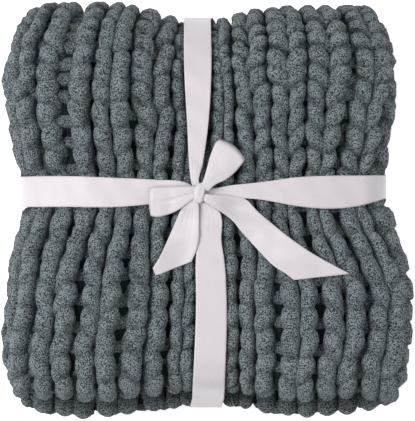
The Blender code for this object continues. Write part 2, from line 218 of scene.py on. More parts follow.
def makeSection():
    # The three plies across: a selvedge turned down, two side folds and the other selvedge.
    third = 1.0 / 3.0
    foldX = stack["halfWidth"] - section["foldInset"]
    turned = section["turnedLevel"]
    rows, ends = [], []

    def turn(x, swell, level, rise, start, stop):
        for angle in np.linspace(math.radians(start), math.radians(stop), 30)[min(len(rows), 1):]:
            rows.append((x + swell * math.cos(angle), level + rise * math.sin(angle)))
        ends.append(len(rows) - 1)

    def ply(start, stop, level):
        rows.extend((x, level) for x in np.linspace(start, stop, 200)[1:])
        ends.append(len(rows) - 1)

    turn(-foldX, section["swells"][0], turned, 2 * third - turned, 205, 90)
    ply(-foldX, foldX, 2 * third)
    turn(foldX, section["swells"][1], third, third, 90, -90)
    ply(foldX, -foldX, 0.0)
    turn(-foldX, section["swells"][2], -third, third, 90, 270)
    ply(-foldX, foldX + section["lowerReach"], -2 * third)
    table = np.array(rows)
    steps = np.hypot(np.diff(table[:, 0]), np.diff(table[:, 1]) * bandThickness / 2)
    return np.concatenate(([0.0], np.cumsum(steps))), table, ends


sectionAcross, sectionRows, sectionEnds = makeSection()
clothWidth = sectionAcross[-1]
faceStart = float(sectionAcross[sectionEnds[0]])  # where the top ply's flat face begins
faceHalf = sectionRows[sectionEnds[1] + 1, 0]  # from the face's middle to where it turns down
leftFold = sectionAcross[sectionEnds[3:5]]  # the second side fold's two ends


def clothPoint(across, along):
    # A place on the cloth's middle, in the folded and tied stack.
    x = np.interp(across, sectionAcross, sectionRows[:, 0])
    level = np.interp(across, sectionAcross, sectionRows[:, 1])
    share = (level + 1.0) / 2.0
    outerY, outerZ, innerY, innerZ = (np.interp(along, foldAlong, foldRows[:, i]) for i in range(4))
    y = innerY + (outerY - innerY) * share
    z = innerZ + (outerZ - innerZ) * share
    return tiedShape(x, y, z), x, y


def clothNormal(across, along):
    step = 0.0015
    over = clothPoint(across + step, along)[0] - clothPoint(across - step, along)[0]
    down = clothPoint(across, along + step)[0] - clothPoint(across, along - step)[0]
    return unit(np.cross(down, over))


yarn = dict(
    coursePitch=0.0232,
    wrapPitch=0.0158,  # the stitches bunch where the cloth turns over
    bunchedPitch=0.0200,  # below this pitch they are thinner lumps
    bunchedLift=0.0085,
    widestPitch=0.0225,
    endMargins=(0.001, 0.012),
    loopHalf=0.88,  # half a loop's height, in courses
    lean=0.31,  # how far a leg leans, in columns
    leanNoise=0.4,
    weave=0.0098,  # how far a leg comes up from the links behind
    linkLevel=-0.0029,
    rise=(34.0, 52.0),  # where along its turn a leg comes up, and where it sinks again, in degrees
    sink=(154.0, 80.0),
    fullFrom=(14.0, 34.0),  # where the yarn swells from link to leg, and thins again
    fullTo=(172.0, 136.0),
    legWidth=(0.442, 0.0054, 0.0104),  # its share of the columns' spacing, and its limits
    legDepth=0.0100,
    linkRadius=0.0067,
    plump=0.06,
    hiddenProud=-0.0020,
    proud=-0.0028,
    foldProud=-0.0050,  # round the front fold, where the stitches are drawn in
    faceWidth=0.372,
    wander=0.085,
    slip=0.0018,
    loose=0.0016,
    # Painted shade: the yarn's underside is coloured darker than its top.
    underShade=(0.82, 0.18),  # darker below than above
)
# Towards the back the stitches lie less deep in each other, so they show as lumps.
lumps = dict(
    place=(-0.03, 0.06),  # where they start and are full
    lean=(0.88, 0.35, 0.06),  # plain share, more where the columns slant, less elsewhere
    slantFrom=(5.0, 8.0),  # the wales where the columns slant
    slantTo=(11.5, 10.0),
    laterRise=5.0,
    soonerSink=4.0,
)
# Beside a ladder of long links the legs stand straight.
ladder = dict(
    spacing=(0.0238, 0.0255),
    lean=0.75,
    wander=0.6,
)
# Where one stitch passes under the next it is narrower, which leaves a small hole at each side,
# and painted shade on a slanting line. Strengths are for the front, towards the back and where bunched.
crossing = dict(
    notches=((106.0, 13.0, 1.0), (40.0, 11.0, 0.8)),  # place and spread in degrees, share
    notch=(0.21, 0.13, 0.4),
    tuckShadePlace=104.0,
    tuckShadeSlant=28.0,
    tuckShadeSpread=9.5,
    tuckShadeNoise=0.5,
    tuckShade=(0.42, 0.16, 0.5),
)

# Where the columns of stitch legs lie on the top face, in photo pixels.
columns = dict(
    centre=(207.0, 210.5),  # a pixel is a millimetre
    topScale=0.979,  # the top face is nearer to the camera than the stack's middle
    faceShare=0.962,
    before=(0.0245, 0.0130),  # the columns beyond the photo's, as steps out from its outermost
    after=(0.0190, 0.0315, 0.0445),
    hidden=(0, 21, 24, 45, 56),  # counts to the second side fold, round it, to the selvedge and past it
    margins=(0.009, 0.200),
)
columnRows = np.array((  # photo y, then the columns from the left
    (45, 31, 48, 84, 102, 120, 138, 163, 177, 196, 216, 227, 242.5, 261, 278, 298, 317, 339, 360),
    (120, 29, 46, 82, 100, 121, 141, 163, 179, 197, 216, 228.5, 244, 266.6, 280, 297.4, 311.5, 332, 355),
    (165, 38, 53, 86, 104, 125, 142, 159, 176, 188, 209, 228, 245, 266, 280, 297, 313, 329, 345.6),
    (215, 43, 59, 86.5, 102, 124, 140, 160, 175, 190, 209, 226, 243, 265, 280, 296, 312, 326, 346),
    (300, 27, 45, 67, 89, 111, 134, 158.5, 176, 191, 211, 232, 249, 268, 291, 311, 331, 355, 375),
    (384, 22, 39, 63, 82, 107, 127, 153, 172, 187, 211, 232, 246.4, 265, 287, 305, 326.4, 349, 368.6),
))


def makeColumnPlaces():
    # Each row's columns as places across the cloth, with the edges added at the plain pitch.
    rows = []
    centreX, centreY = columns["centre"]
    for row in columnRows:
        y = (centreY - row[0]) / 1000.0 * columns["topScale"]
        x = (row[1:] - centreX) / 1000.0 * columns["topScale"]
        left, right = smoothTable(y, sideOutline, 1), smoothTable(y, sideOutline, 2)
        x = x / (np.where(x < 0, left, right) / stack["halfWidth"] * columns["faceShare"])
        across = faceStart + x + faceHalf
        before = across[0] - np.array(columns["before"])
        edge = across[-1] + np.array(columns["after"])
        # Closer together round the second side fold, then out to the selvedge.
        margin, beyond = columns["margins"]
        stops = (edge[-1], *leftFold, clothWidth - margin, clothWidth + beyond)
        after = np.interp(np.arange(1, columns["hidden"][-1] + 1), columns["hidden"], stops)
        rows.append((y, *before, *across, *edge, *after))
    rows.reverse()
    return np.array(rows)


columnPlaces = makeColumnPlaces()
waleCount = 34


def makeCoursePlaces():
    # Each course's middle along the cloth and its height, closer together round the back.
    top, front = foldMarks["top"], foldMarks["front"]
    stops = (foldMarks["back"], top - 0.10, top - 0.015, top + 0.025, front - 0.03, front, front + 0.03)
    sizes = (1.0, 0.0, 0.0, 1.0, 1.0, 0.6, 1.0)
    places, start = [], yarn["endMargins"][0]
    while start < clothLength - yarn["endMargins"][1]:
        share = np.interp(start, stops, sizes)
        pitch = yarn["wrapPitch"] + (yarn["coursePitch"] - yarn["wrapPitch"]) * share
        places.append((start + pitch / 2, pitch))
        start += pitch
    return np.array(places)


coursePlaces = makeCoursePlaces()
courseCount = len(coursePlaces)
noiseSize = (courseCount + 3, 90)  # a few more than the courses and the columns
columnNoise = chance.normal(0.0, 1.0, noiseSize)
plumpNoise = chance.uniform(-1.0, 1.0, noiseSize)
slipNoise = chance.normal(0.0, 1.0, noiseSize)
looseNoise = np.clip(chance.normal(0.0, 1.0, noiseSize), -1.6, 1.6)


def acrossOf(column, y, onTop):
    # Columns are counted at their middles: 0.5 is the first leg. Off the top they go on as at its ends.
    y = np.where(onTop, y, np.where(y > 0, 0.2, -0.2))
    rowPlace = np.interp(y, columnPlaces[:, 0], np.arange(len(columnPlaces)))
    low = np.minimum(rowPlace.astype(int), len(columnPlaces) - 2)
    t = ease(rowPlace - low)
    place = np.clip(column - 0.5, -1.0, columnPlaces.shape[1] - 3.0)
    left = np.clip(np.floor(place).astype(int), 0, columnPlaces.shape[1] - 3)
    part = place - left
    start = columnPlaces[low, left + 1] * (1 - t) + columnPlaces[low + 1, left + 1] * t
    gap = columnPlaces[low, left + 2] * (1 - t) + columnPlaces[low + 1, left + 2] * t - start
    # In a wide gap the legs keep to their columns, and only the link between them is longer.
    plain = np.minimum(gap, yarn["widestPitch"])
    return start + plain * part + (gap - plain) * smoothStep(part, 0.3, 0.7)


def noiseAt(table, course, column):
    place = np.clip(column, 0, table.shape[1] - 2)
    left = place.astype(int)
    part = ease(place - left)
    return table[course, left] * (1 - part) + table[course, left + 1] * part


# How the ribbon's runs press on the stitches below them.
press = dict(
    knot=(-0.008, 0.0165),
    distances=(0.0, 0.015, 0.050, 0.090, 0.130),  # from the knot, and the half widths there
    halves=(0.005, 0.007, 0.0115, 0.0145, 0.0155),
    margin=0.001,
    slope=0.008,
    lengthY=(-0.19, -0.06, 0.006, 0.026, 0.19),  # the lengthwise run's middle on the top
    lengthX=(-0.001, 0.003, 0.0, -0.010, -0.010),
    weave=0.5,  # how much of the stitches' height is left, and their level
    level=-0.0034,
)


def pressedByRibbon(x, y, onTop):
    crossHalf, lengthHalf = (
        np.where(onTop, np.interp(np.abs(far), press["distances"], press["halves"]), press["halves"][-1])
        + press["margin"]
        for far in (x - press["knot"][0], y - press["knot"][1])
    )
    onTopX = np.interp(y, press["lengthY"], press["lengthX"])
    belowX = np.interp(y, press["lengthY"][::4], press["lengthX"][::4])
    lengthX = np.where(onTop, onTopX, belowX)
    return underTie(x, y, lengthX, crossHalf, lengthHalf, press["slope"])


def surfaceSpacing(column, along, guess, onTop):
    # The distance between columns at the stitches' outer surface, so that folds are covered too.
    sides = []
    for step in (0.3, -0.3):
        across = np.clip(acrossOf(column + step, guess, onTop), 0.001, clothWidth - 0.001)
        sides.append(clothPoint(across, along)[0] + clothNormal(across, along) * 0.006)
    return np.minimum(np.linalg.norm(sides[0] - sides[1], axis=1) / 0.6, 0.030)


def drawnIn(along):
    return smoothStep(along, foldMarks["front"] - 0.045, foldMarks["front"] + 0.010)


def gridQuads(rows, columns, closed):
    # The faces between rows of points, and across each row's ends if it is closed.
    i = np.arange(rows - 1)[:, None] * columns
    j = np.arange(columns if closed else columns - 1)[None, :]
    k = (j + 1) % columns
    return np.stack((i + j, i + columns + j, i + columns + k, i + k), axis=-1).reshape(-1, 4)


def addObject(name, data):
    obj = bpy.data.objects.new(name, data)
    bpy.context.scene.collection.objects.link(obj)
    return obj


knitPoints = []


def tubeRings(place, normal, width, depth, sides, paintedShade):
    # Rings of points round a run of yarn, closed to a round tip at each end.
    count = len(place)
    paintedShade = paintedShade if paintedShade.ndim == 2 else paintedShade[:, None]
    ends = np.minimum(np.arange(count), count - 1 - np.arange(count))
    closing = np.clip((ends + 0.15) / 4.0, 0.0, 1.0)
    closing = np.sqrt(closing * (2.0 - closing))
    tangent = unit(np.gradient(place, axis=0))
    side = unit(np.cross(tangent, normal))
    up = np.cross(side, tangent)
    angles = 2.0 * math.pi * np.arange(sides) / sides
    ring = side[:, None, :] * (width * closing)[:, None, None] * np.cos(angles)[None, :, None]
    ring = ring + up[:, None, :] * (depth * closing)[:, None, None] * np.sin(angles)[None, :, None]
    verts = (place[:, None, :] + ring).reshape(-1, 3)
    # Painted shade: each ring darker on its underside, times the painted shade given for the run.
    below = yarn["underShade"][0] + yarn["underShade"][1] * np.sin(angles)
    return verts, distances(place), count, (paintedShade * below[None, :]).ravel()


def courseTube(course, firstWale, lastWale, sides, segments, flatten=1.0):
    # One course's yarn through a run of wales: out to a leg, over the head, back down the other leg.
    count = int((lastWale - firstWale) * segments) + 1
    wale = np.linspace(firstWale, lastWale, count)
    turn = 2.0 * math.pi * wale
    middle, pitch = coursePlaces[course]
    along = middle - yarn["loopHalf"] * pitch * np.cos(turn)
    guess = np.interp(along, foldAlong, foldRows[:, 0])
    onTop = (along > foldMarks["top"]) & (along < foldMarks["front"])
    behind = smoothStep(guess, *lumps["place"])
    slanting = smoothStep(wale, *lumps["slantFrom"]) * smoothStep(wale, *lumps["slantTo"])
    plain, more, less = lumps["lean"]
    lean = yarn["lean"] * (plain + (more * slanting - less) * behind)
    lean = lean * (1.0 + yarn["leanNoise"] * noiseAt(plumpNoise, course, 2.0 * wale + 3.0))
    apart = acrossOf(2.0 * wale + 0.5, guess, onTop) - acrossOf(2.0 * wale - 0.5, guess, onTop)
    straight = np.interp(apart, ladder["spacing"], (0.0, 1.0)) * onTop
    lean = lean * (1.0 - ladder["lean"] * straight)
    column = 2.0 * wale + lean * (np.sin(2.0 * turn) - 0.40 * np.sin(turn))
    along = along + yarn["slip"] * noiseAt(slipNoise, course, column)
    along = np.clip(along, 0.002, clothLength - 0.002)
    shown = noiseAt(columnNoise, course, column) * yarn["wander"] * (1.0 - ladder["wander"] * straight)
    across = np.clip(acrossOf(column + shown, guess, onTop), 0.001, clothWidth - 0.001)
    place, plainX, plainY = clothPoint(across, along)
    normal = clothNormal(across, along)
    spacing = surfaceSpacing(column, along, guess, onTop)
    upper = place[:, 2] > 0.09
    pressed = pressedByRibbon(plainX, plainY, upper)
    outer = (along > foldMarks["back"]) & (along < foldMarks["second"])
    face = outer * np.clip((across - 0.006) / 0.03, 0, 1)
    face = face * np.clip((faceStart + yarn["faceWidth"] - across) / 0.03, 0, 1)
    plump = 1.0 + yarn["plump"] * noiseAt(plumpNoise, course, column)
    folded = np.degrees(np.arccos(np.clip(np.cos(turn), -1.0, 1.0)))
    up = smoothStep(folded, *(edge + lumps["laterRise"] * behind for edge in yarn["rise"]))
    up = up * smoothStep(folded, *(edge - lumps["soonerSink"] * behind for edge in yarn["sink"]))
    short = min(pitch / yarn["bunchedPitch"], 1.0)
    bunched = 1.0 - short
    loose = yarn["loose"] * up * noiseAt(looseNoise, course, column)
    lift = yarn["linkLevel"] + yarn["weave"] * up + loose + bunched * yarn["bunchedLift"]
    proud = yarn["proud"] - yarn["hiddenProud"] + yarn["foldProud"] * drawnIn(along)
    base = yarn["hiddenProud"] + proud * face
    lift = (base + lift * flatten) * (1.0 - pressed) + pressed * (lift * press["weave"] + press["level"])
    place = place + normal * lift[:, None]
    share, least, most = yarn["legWidth"]
    legWidth = np.clip(spacing * share, least, most) * plump
    link = yarn["linkRadius"] + 0.12 * np.clip(spacing - 0.0185, 0.0, 0.0070)
    full = smoothStep(folded, *yarn["fullFrom"]) * smoothStep(folded, *yarn["fullTo"])
    width = link + (legWidth - link) * full
    depth = (link + (yarn["legDepth"] - link) * up**0.6) * (0.5 + 0.5 * plump) * short
    depth = depth * (1.0 - 0.16 * pressed) * flatten
    front, back, close = crossing["notch"]
    notch = 0.0
    for at, spread, part in crossing["notches"]:
        notch = notch + part * np.exp(-(((folded - at) / spread) ** 2))
    width = width * (1.0 - (front - back * behind + close * bunched) * notch)
    around = np.cos(2.0 * math.pi * np.arange(sides) / sides)
    # Painted shade along a slanting line where this stitch passes under the next.
    slant = folded[:, None] - crossing["tuckShadePlace"] - crossing["tuckShadeSlant"] * around
    uneven = 1.0 + crossing["tuckShadeNoise"] * noiseAt(plumpNoise, course, column + 7.0)
    front, back, close = crossing["tuckShade"]
    paintedTuckShade = np.exp(-((slant / crossing["tuckShadeSpread"]) ** 2)) * uneven[:, None]
    paintedTuckShade = paintedTuckShade * (front + back * behind + close * bunched)[:, None]
    # Painted shade: links darker than legs, and darker still along the slanting line where one stitch
    # passes under the next.
    return tubeRings(place, normal, width, depth, sides, (0.76 + 0.24 * up)[:, None] * (1.0 - paintedTuckShade))


# The rounded foot of each column, along the edge of the first or last course.
feet = dict(
    points=14,
    # Painted shade along each foot: darkest at its inner end, under the fold above.
    shade=((0, 5, 13), (0.30, 0.42, 1.0)),
    length=0.030,
    reach=0.0014,
    uneven=0.0008,
    topColumns=22,  # past these it is the plies below, set back
    recess=0.0050,
    corner=((0.150, 0.171, 0.186, 0.199), (0.0, 0.003, 0.009, 0.030)),  # shorter at the corners
    forward=0.0045,
    width=(0.46, 0.0062, 0.0115),
    depth=0.0074,
)


def edgeLegs(end, inward, recess, sides):
    legs, points = [], feet["points"]
    # Painted shade along the foot, from its inner end out.
    paintedShade = np.interp(np.arange(points), *feet["shade"])
    share, least, most = feet["width"]
    for number in range(2 * waleCount):
        topPly = number < feet["topColumns"]
        column = number + 0.5 + 0.05 * columnNoise[0, number]
        foot = feet["reach"] + feet["uneven"] * plumpNoise[1, number]
        foot += recess if topPly else feet["recess"]
        steps = (0.0, 0.5, -0.5)
        here, after, before = (acrossOf(np.array(column + step), -0.2, False) for step in steps)
        middleX = clothPoint(here, end + inward * 0.021)[0][0]
        foot += np.interp(abs(middleX), *feet["corner"])
        along = end + inward * np.linspace(foot + feet["length"], foot, points)
        place, _, _ = clothPoint(np.full(points, here), along)
        normal = clothNormal(np.full(points, here), along)
        place = place - normal * 0.0010
        place[:, 0] = middleX
        place[:, 1] -= feet["forward"] if recess == 0.0 and topPly else 0.0
        width = np.full(points, min(max((after - before) * share, least), most))
        legs.append(tubeRings(place, normal, width, np.full(points, feet["depth"]), sides, paintedShade))
    return legs


def keepOffFloor(verts):
    # Stitches underneath are pressed flat by the weight above.
    floor = stack["underDepth"] * valley(verts[:, 0], verts[:, 1], stack["underSlope"])
    verts[:, 2] = np.maximum(verts[:, 2], floor + 0.0003)
    return verts


def yarnMesh(name, verts, faces, uvs):
    mesh = bpy.data.meshes.new(name)
    mesh.from_pydata(verts.tolist(), [], faces.tolist())
    mesh.uv_layers.new(name="yarn").data.foreach_set("uv", uvs.ravel())
    return mesh


def knitPiece(name, tubes, sides):
    parts, offset = [], 0
    for number, (verts, length, count, paintedShade) in enumerate(tubes):
        length = length[:, None] + number * 0.37
        around = np.arange(sides)[None, :] / sides
        first, second, near = np.broadcast_arrays(length[:-1], length[1:], around)
        far = near + 1.0 / sides
        corner = np.stack((first, near, second, near, second, far, first, far), axis=-1)
        parts.append((verts, gridQuads(count, sides, True) + offset, corner.reshape(-1, 2), paintedShade))
        offset += len(verts)
    verts, faces, uvs, paintedShade = (np.concatenate(part) for part in zip(*parts))
    verts = keepOffFloor(verts)
    knitPoints.append(verts)
    mesh = yarnMesh(name, verts, faces, uvs)
    # Painted shade kept on each point, which the chenille material multiplies into its colour.
    mesh.attributes.new("painted_shade", "FLOAT", "POINT").data.foreach_set("value", paintedShade)
    obj = addObject(name, mesh)
    bm = bmesh.new()
    bm.from_mesh(mesh)
    bmesh.ops.holes_fill(bm, edges=[e for e in bm.edges if e.is_boundary], sides=sides)
    bm.to_mesh(mesh)
    bm.free()
    mesh.shade_smooth()
    mesh.materials.append(materials["chenille"])
    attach(obj, "root")
    return obj


def courseAt(along):
    return int(np.argmin(np.abs(coursePlaces[:, 0] - along)))


def setInputs(node, inputs):
    # Each input takes a value, or another node and the name of its output.
    for name, value in inputs.items():
        if isinstance(value, tuple) and isinstance(value[0], bpy.types.Node):
            node.id_data.links.new(value[0].outputs[value[1]], node.inputs[name])
        else:
            node.inputs[name].default_value = value


def addNode(tree, kind, inputs={}, **settings):
    node = tree.nodes.new("ShaderNode" + kind)
    for name, value in settings.items():
        setattr(node, name, value)
    setInputs(node, inputs)
    return node


pile = dict(
    curls={"Scale": 830.0, "Detail": 3.0, "Roughness": 0.62, "Distortion": 1.2},
    curlShift=0.0016,
    tuftSize=760.0,
    tuftReach={"From Min": 0.74, "From Max": 0.14, "To Min": 0.0, "To Max": 0.62},
    broad={"Scale": 90.0, "Detail": 2.0},
    broadShare=0.25,
    rings={"Scale": 110.0, "Distortion": 1.5},
    ringShift=0.004,
    ringStrength=0.07,
    curlShare=1.1,
    bump={"Strength": 0.9, "Distance": 0.0022},
    finish={
        "Roughness": 0.95,
        "Specular IOR Level": 0.15,
        "Sheen Weight": 0.08,
        "Sheen Roughness": 0.45,
        "Sheen Tint": (0.62, 0.72, 0.78, 1.0),
    },
    stops=(0.67, 0.96, 1.0),  # deep in the pile, at its middle and at its tips
    colours=((0.023, 0.030, 0.034), (0.125, 0.149, 0.161), (0.365, 0.424, 0.456)),
    # Painted shade: near-black colours for the cloth behind the stitches.
    paintedShadeColours=((0.005, 0.007, 0.008), (0.010, 0.013, 0.014), (0.018, 0.022, 0.024)),
)


def makePileGroup():
    # Curled pile: light and dark tufts, rings across the yarn, and the height they give.
    tree = bpy.data.node_groups.new("chenille pile", "ShaderNodeTree")
    for way, names in (("INPUT", ("Tuft Size", "Ring Strength")), ("OUTPUT", ("Shade", "Height"))):
        for name in names:
            tree.interface.new_socket(name, in_out=way, socket_type="NodeSocketFloat")
    given = tree.nodes.new("NodeGroupInput")
    place = (addNode(tree, "TexCoord"), "Object")
    curls = addNode(tree, "TexNoise", {"Vector": place, **pile["curls"]})
    shift = {0: (curls, "Color"), 1: (pile["curlShift"],) * 3, 2: place}
    shifted = addNode(tree, "VectorMath", shift, operation="MULTIPLY_ADD")
    cells = addNode(tree, "TexVoronoi", {"Vector": (shifted, "Vector"), "Scale": (given, "Tuft Size")})
    tufts = addNode(tree, "MapRange", {"Value": (cells, "Distance"), **pile["tuftReach"]})
    broad = addNode(tree, "TexNoise", {"Vector": place, **pile["broad"]})
    uv = addNode(tree, "UVMap", uv_map="yarn")
    bend = {0: (curls, "Color"), 1: (pile["ringShift"], 0.0, 0.0), 2: (uv, "UV")}
    bent = addNode(tree, "VectorMath", bend, operation="MULTIPLY_ADD")
    rings = addNode(tree, "TexWave", {"Vector": (bent, "Vector"), **pile["rings"]})
    ringed = addNode(tree, "Math", {0: (rings, "Fac"), 1: (given, "Ring Strength")}, operation="MULTIPLY")
    curled = {0: (curls, "Fac"), 1: pile["curlShare"], 2: (tufts, "Result")}
    woolly = addNode(tree, "Math", curled, operation="MULTIPLY_ADD")
    total = addNode(tree, "Math", {0: (woolly, "Value"), 1: (ringed, "Value")}, operation="ADD")
    mottled = {0: (broad, "Fac"), 1: pile["broadShare"], 2: (total, "Value")}
    shade = addNode(tree, "Math", mottled, operation="MULTIPLY_ADD")
    setInputs(tree.nodes.new("NodeGroupOutput"), {"Shade": (shade, "Value"), "Height": (total, "Value")})
    return tree


def newMaterial(name, inputs):
    material = bpy.data.materials.new(name)
    material.use_nodes = True
    shader = material.node_tree.nodes["Principled BSDF"]
    setInputs(shader, inputs)
    return material, material.node_tree, shader


def addRamp(tree, source, stops, colours):
    ramp = addNode(tree, "ValToRGB", {"Fac": source})
    for _ in stops[2:]:
        ramp.color_ramp.elements.new(0.5)
    for element, stop, colour in zip(ramp.color_ramp.elements, stops, colours):
        element.position = stop
        element.color = (*colour, 1.0)
    return ramp


def makeChenille(name, group, colours, readsPaintedShade):
    material, tree, shader = newMaterial(name, pile["finish"])
    sizes = {"Tuft Size": pile["tuftSize"], "Ring Strength": pile["ringStrength"]}
    fuzz = addNode(tree, "Group", sizes, node_tree=group)
    colour = (addRamp(tree, (fuzz, "Shade"), pile["stops"], colours), "Color")
    if readsPaintedShade:
        # Painted shade: the colour is darkened by the attribute written with the knit.
        paintedShade = addNode(tree, "Attribute", attribute_name="painted_shade")
        shaded = {0: colour, "Scale": (paintedShade, "Fac")}
        colour = (addNode(tree, "VectorMath", shaded, operation="SCALE"), "Vector")
    bump = addNode(tree, "Bump", {"Height": (fuzz, "Height"), **pile["bump"]})
    setInputs(shader, {"Base Color": colour, "Normal": (bump, "Normal")})
    return material


satin = dict(
    shine={"Sheen Weight": 0.15, "Specular IOR Level": 0.45},
    grain=(90.0, 2600.0, 1.0),
    roughness={"To Min": 0.42, "To Max": 0.58},
    bump={"Strength": 0.25, "Distance": 0.0002},
    stops=(0.30, 0.75),
    colours=((0.535, 0.494, 0.524), (0.590, 0.556, 0.586)),
)


def makeSatin():
    # Close, shiny weave with a faint lengthwise grain.
    material, tree, shader = newMaterial("satin ribbon", satin["shine"])
    uv = addNode(tree, "UVMap", uv_map="weave")
    stretch = addNode(tree, "Mapping", {"Vector": (uv, "UV"), "Scale": satin["grain"]})
    noise = addNode(tree, "TexNoise", {"Vector": (stretch, "Vector"), "Scale": 1.0, "Detail": 2.0})
    grain = (noise, "Fac")
    ramp = addRamp(tree, grain, satin["stops"], satin["colours"])
    rough = addNode(tree, "MapRange", {"Value": grain, **satin["roughness"]})
    bump = addNode(tree, "Bump", {"Height": grain, **satin["bump"]})
    finish = {"Base Color": (ramp, "Color"), "Roughness": (rough, "Result"), "Normal": (bump, "Normal")}
    setInputs(shader, finish)
    return material


pileGroup = makePileGroup()
materials = dict(
    chenille=makeChenille("slate chenille", pileGroup, pile["colours"], True),
    # Painted shade: the near-black chenille of the cloth behind the stitches.
    paintedShadeChenille=makeChenille("slate chenille in painted shade", pileGroup, pile["paintedShadeColours"], False),
    satin=makeSatin(),
)
print("materials made")


backing = dict(
    columns=300,
    rows=200,
    endGap=0.006,
    depth=0.0035,  # behind the middle of the yarn
    blend=0.010,
    lift=0.0015,
)


def makeCloth():
    # The cloth behind the stitches, coloured near-black as painted shade seen through the gaps between
    # them.
    across = np.linspace(0.0, clothWidth, backing["columns"])
    along = np.linspace(backing["endGap"], clothLength - backing["endGap"], backing["rows"])
    u, v = np.meshgrid(across, along)
    place, _, _ = clothPoint(u.ravel(), v.ravel())
    fold, blend = foldMarks["second"], backing["blend"]
    inner = smoothStep(v.ravel(), fold + blend, fold - blend)
    behind = backing["depth"] - yarn["foldProud"] * drawnIn(v.ravel()) * inner
    place = place - clothNormal(u.ravel(), v.ravel()) * behind[:, None]
    place = keepOffFloor(place)
    place[:, 2] += backing["lift"]
    quads = gridQuads(len(along), len(across), False)
    flat = np.stack((v.ravel(), u.ravel()), axis=-1)
    mesh = yarnMesh("blanketCloth", place, quads, flat[quads.ravel()])
    mesh.shade_smooth()
    mesh.materials.append(materials["paintedShadeChenille"])
    obj = addObject("blanketCloth", mesh)
    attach(obj, "root")
    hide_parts("blanket")
    return obj


cloth = makeCloth()
print("cloth folded")

topFirst, topLast = courseAt(foldMarks["top"] - 0.075), courseAt(foldMarks["front"] + 0.055)
midCourse = courseAt((foldMarks["top"] + foldMarks["front"]) / 2)
underCourse = courseAt(foldMarks["back"])
innerCourse = courseAt(foldMarks["second"] + 0.04)
lastCourse = courseCount - 2
knitRuns = (  # courses, wales, the yarn's sides, its rings to a wale
    ("knitTopBack", topFirst, midCourse, 0, 13, 12, 42),
    ("knitTopFront", midCourse, topLast, 0, 13, 12, 42),
    ("knitBack", underCourse, topFirst, 0, 13, 10, 22),
    ("knitFrontFold", topLast, innerCourse, 0, 13, 10, 22),
    ("knitUnder", 2, underCourse, 0, 13, 8, 18),
    ("knitRightFolds", innerCourse, lastCourse, 8, 12, 8, 18),
    ("knitLeftEdges", innerCourse, lastCourse, 0, 3, 8, 18),
    ("knitLeftFolds", 2, lastCourse, 21, 24, 8, 18),
    ("knitRightEdges", 2, lastCourse, waleCount - 2, waleCount, 8, 18),
)
knitPieces = []
for name, first, stop, *yarnRun in knitRuns:
    knitPieces.append(knitPiece(name, [courseTube(c, *yarnRun) for c in range(first, stop)], yarnRun[2]))
freeEnds = [courseTube(c, 0, waleCount, 10, 18, 0.66) for c in (1, lastCourse)]
freeEnds += edgeLegs(0.001, 1.0, 0.0095, 10) + edgeLegs(clothLength - 0.001, -1.0, 0.0, 10)
knitPieces.append(knitPiece("knitFreeEnds", freeEnds, 10))
print("knit made")

ribbon = dict(
    width=0.031,
    thickness=0.0005,
    lift=0.0006,  # clear of the stitches
    across=16,  # faces across the width
    creaseHeight=0.0009,
    creaseReach=0.024,  # how far the creases run from the knot
    knotHalf=0.006,
    knotMiddle=(-0.0075, 0.0170),
    rowPitch=0.0028,
    ripple=0.0004,
    rippleRate=210.0,
    sideStart=0.60,  # of the stack's height: where the runs leave the top
    sideEase=0.08,
    underHeight=0.02,
    underReach=0.17,
)
# The taut runs' edges on the top in millimetres: distance along, one edge, the other edge.
crossEdges = np.array((
    (-190, 3.5, 33.5), (-140, 3.5, 34), (-87, 3.5, 32), (-50, 7, 30.2), (-20, 12, 27.2),
    (-8, 13, 21.5), (4, 12.5, 21.5), (22, 12.5, 24.5), (50, 11, 27.5), (92, 3.8, 33),
    (118, 1.8, 34.2), (150, 4.5, 34.5), (174, 11.2, 34.8), (190, 14, 35),
)) / 1000.0
lengthEdges = np.array((
    (-195, -15, 16.8), (-80, -10.8, 19), (-54, -11.2, 17.6), (-32, -9.8, 14.4), (4, -8.5, 9),
    (12, -10, 1), (26, -15, -7.5), (46, -17.5, -4), (80, -19.2, 0.8), (142, -22.5, 4.4),
    (195, -23, 3.6),
)) / 1000.0
# Each crease's place, width and height.
creases = ((-0.62, 0.10, 0.8), (-0.18, 0.08, 1.0), (0.22, 0.11, 0.75), (0.66, 0.09, 0.9))


def creaseShape(w, distance, turn):
    # Sharp little folds that spread from the knot and die away.
    fade = np.exp(-np.maximum(distance - ribbon["knotHalf"], 0.0) / ribbon["creaseReach"])
    total = np.zeros_like(w)
    for place, width, height in creases:
        total = total + height * np.exp(-(((w - place * turn) / (width * (1.15 - 0.3 * fade))) ** 2))
    return ribbon["creaseHeight"] * total * fade


def hull(points):
    points = sorted(set(points))

    def chain(items):
        out = []
        for p in items:
            while len(out) > 1:
                ax, ay = out[-1][0] - out[-2][0], out[-1][1] - out[-2][1]
                bx, by = p[0] - out[-2][0], p[1] - out[-2][1]
                if ax * by - ay * bx > 0.0:
                    break
                out.pop()
            out.append(p)
        return out[:-1]

    return chain(points) + chain(points[::-1])


def tautLine(points, axis, low, high, clear):
    # The line that a tight ribbon takes round all that lies between two planes.
    other = 1 - axis
    inside = points[(points[:, other] > low) & (points[:, other] < high)]
    corners = np.array(hull([(round(float(p[axis]), 5), round(float(p[2]), 5)) for p in inside]))
    closed = np.concatenate((corners, corners[:1]))
    along = distances(closed)
    count = int(along[-1] / ribbon["rowPitch"])
    places = np.linspace(0.0, along[-1], count, endpoint=False)
    line = np.stack([np.interp(places, along, closed[:, i]) for i in range(2)], axis=1)
    for _ in range(3):
        line = (np.roll(line, 1, axis=0) + 2.0 * line + np.roll(line, -1, axis=0)) / 4.0
    heading = np.roll(line, -1, axis=0) - np.roll(line, 1, axis=0)
    normal = unit(np.stack((heading[:, 1], -heading[:, 0]), axis=1))
    return line + normal * clear, normal, along[-1]


